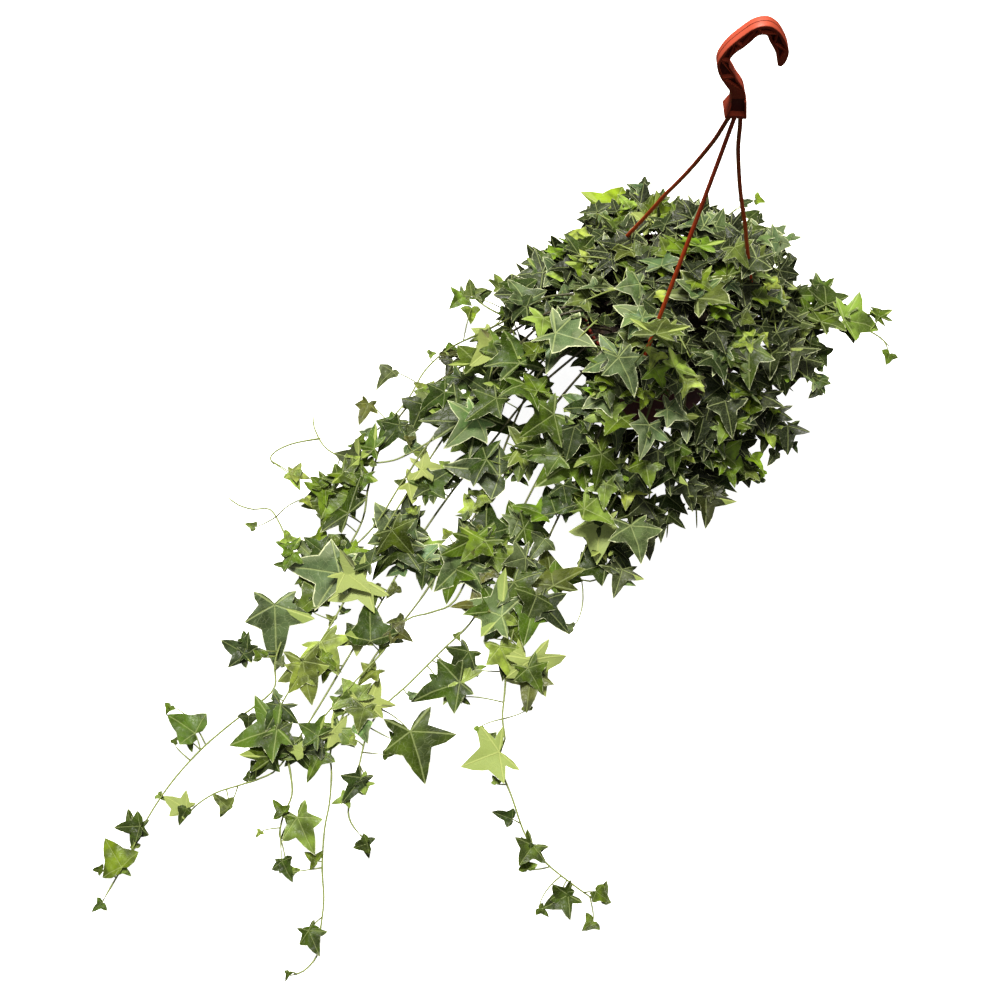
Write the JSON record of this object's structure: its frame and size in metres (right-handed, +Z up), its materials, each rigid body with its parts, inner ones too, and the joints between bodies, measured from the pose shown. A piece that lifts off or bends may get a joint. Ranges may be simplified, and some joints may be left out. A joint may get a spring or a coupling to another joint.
{
  "type": "potted trailing ivy",
  "caption": "Bushy variegated ivy in a round tapered pot with a moulded three-strap hanger and hook, its long leafy stems trailing over one side.",
  "frame": {"origin": "centre of the pot's foot, on the surface that the pot stands on", "axes": "+Z up; +X to the viewer's right and -Y towards the viewer of the picture; the long stems trail towards -Y and -X"},
  "size_m": [0.4876, 0.7543, 0.4153],
  "materials": {
    "pot_plastic": "satin terracotta-brown moulded plastic",
    "hanger_plastic": "satin terracotta moulded plastic",
    "potting_mix": "damp crumbly peat mix",
    "ivy_trailing": "waxy dark green leaf with pale veins",
    "ivy_crown": "waxy grey-green and lime leaf with cream margins"
  },
  "bodies": {
    "root": {"hanging_pot": "pot_plastic", "soil": "potting_mix", "hanger_hook": "hanger_plastic", "hanger_strap_left": "hanger_plastic", "hanger_strap_middle": "hanger_plastic", "hanger_strap_right": "hanger_plastic", "ivy_trail_01": "ivy_trailing", "ivy_trail_02": "ivy_trailing", "ivy_trail_03": "ivy_trailing", "ivy_trail_04": "ivy_trailing", "ivy_trail_05": "ivy_trailing", "ivy_trail_06": "ivy_trailing", "ivy_trail_07": "ivy_trailing", "ivy_trail_08": "ivy_trailing", "ivy_trail_09": "ivy_trailing", "ivy_trail_10": "ivy_trailing", "ivy_trail_11": "ivy_trailing", "ivy_trail_12": "ivy_trailing", "ivy_skirt_1": "ivy_crown", "ivy_skirt_2": "ivy_crown", "ivy_skirt_3": "ivy_crown", "ivy_skirt_4": "ivy_crown", "ivy_skirt_5": "ivy_crown", "ivy_skirt_6": "ivy_crown", "ivy_skirt_7": "ivy_crown", "ivy_skirt_8": "ivy_crown", "ivy_skirt_9": "ivy_crown", "ivy_skirt_10": "ivy_crown", "ivy_skirt_11": "ivy_crown", "ivy_skirt_12": "ivy_crown", "ivy_skirt_13": "ivy_crown", "ivy_skirt_14": "ivy_crown", "ivy_skirt_15": "ivy_crown", "ivy_crown_1": "ivy_crown", "ivy_crown_2": "ivy_crown", "ivy_crown_3": "ivy_crown", "ivy_crown_4": "ivy_crown", "ivy_crown_5": "ivy_crown", "ivy_crown_6": "ivy_crown", "ivy_crown_7": "ivy_crown", "ivy_crown_8": "ivy_crown", "ivy_crown_9": "ivy_crown", "ivy_crown_10": "ivy_crown", "ivy_crown_11": "ivy_crown", "ivy_crown_12": "ivy_crown", "ivy_crown_13": "ivy_crown", "ivy_crown_14": "ivy_crown", "ivy_crown_15": "ivy_crown"}
  },
  "joints": []
}
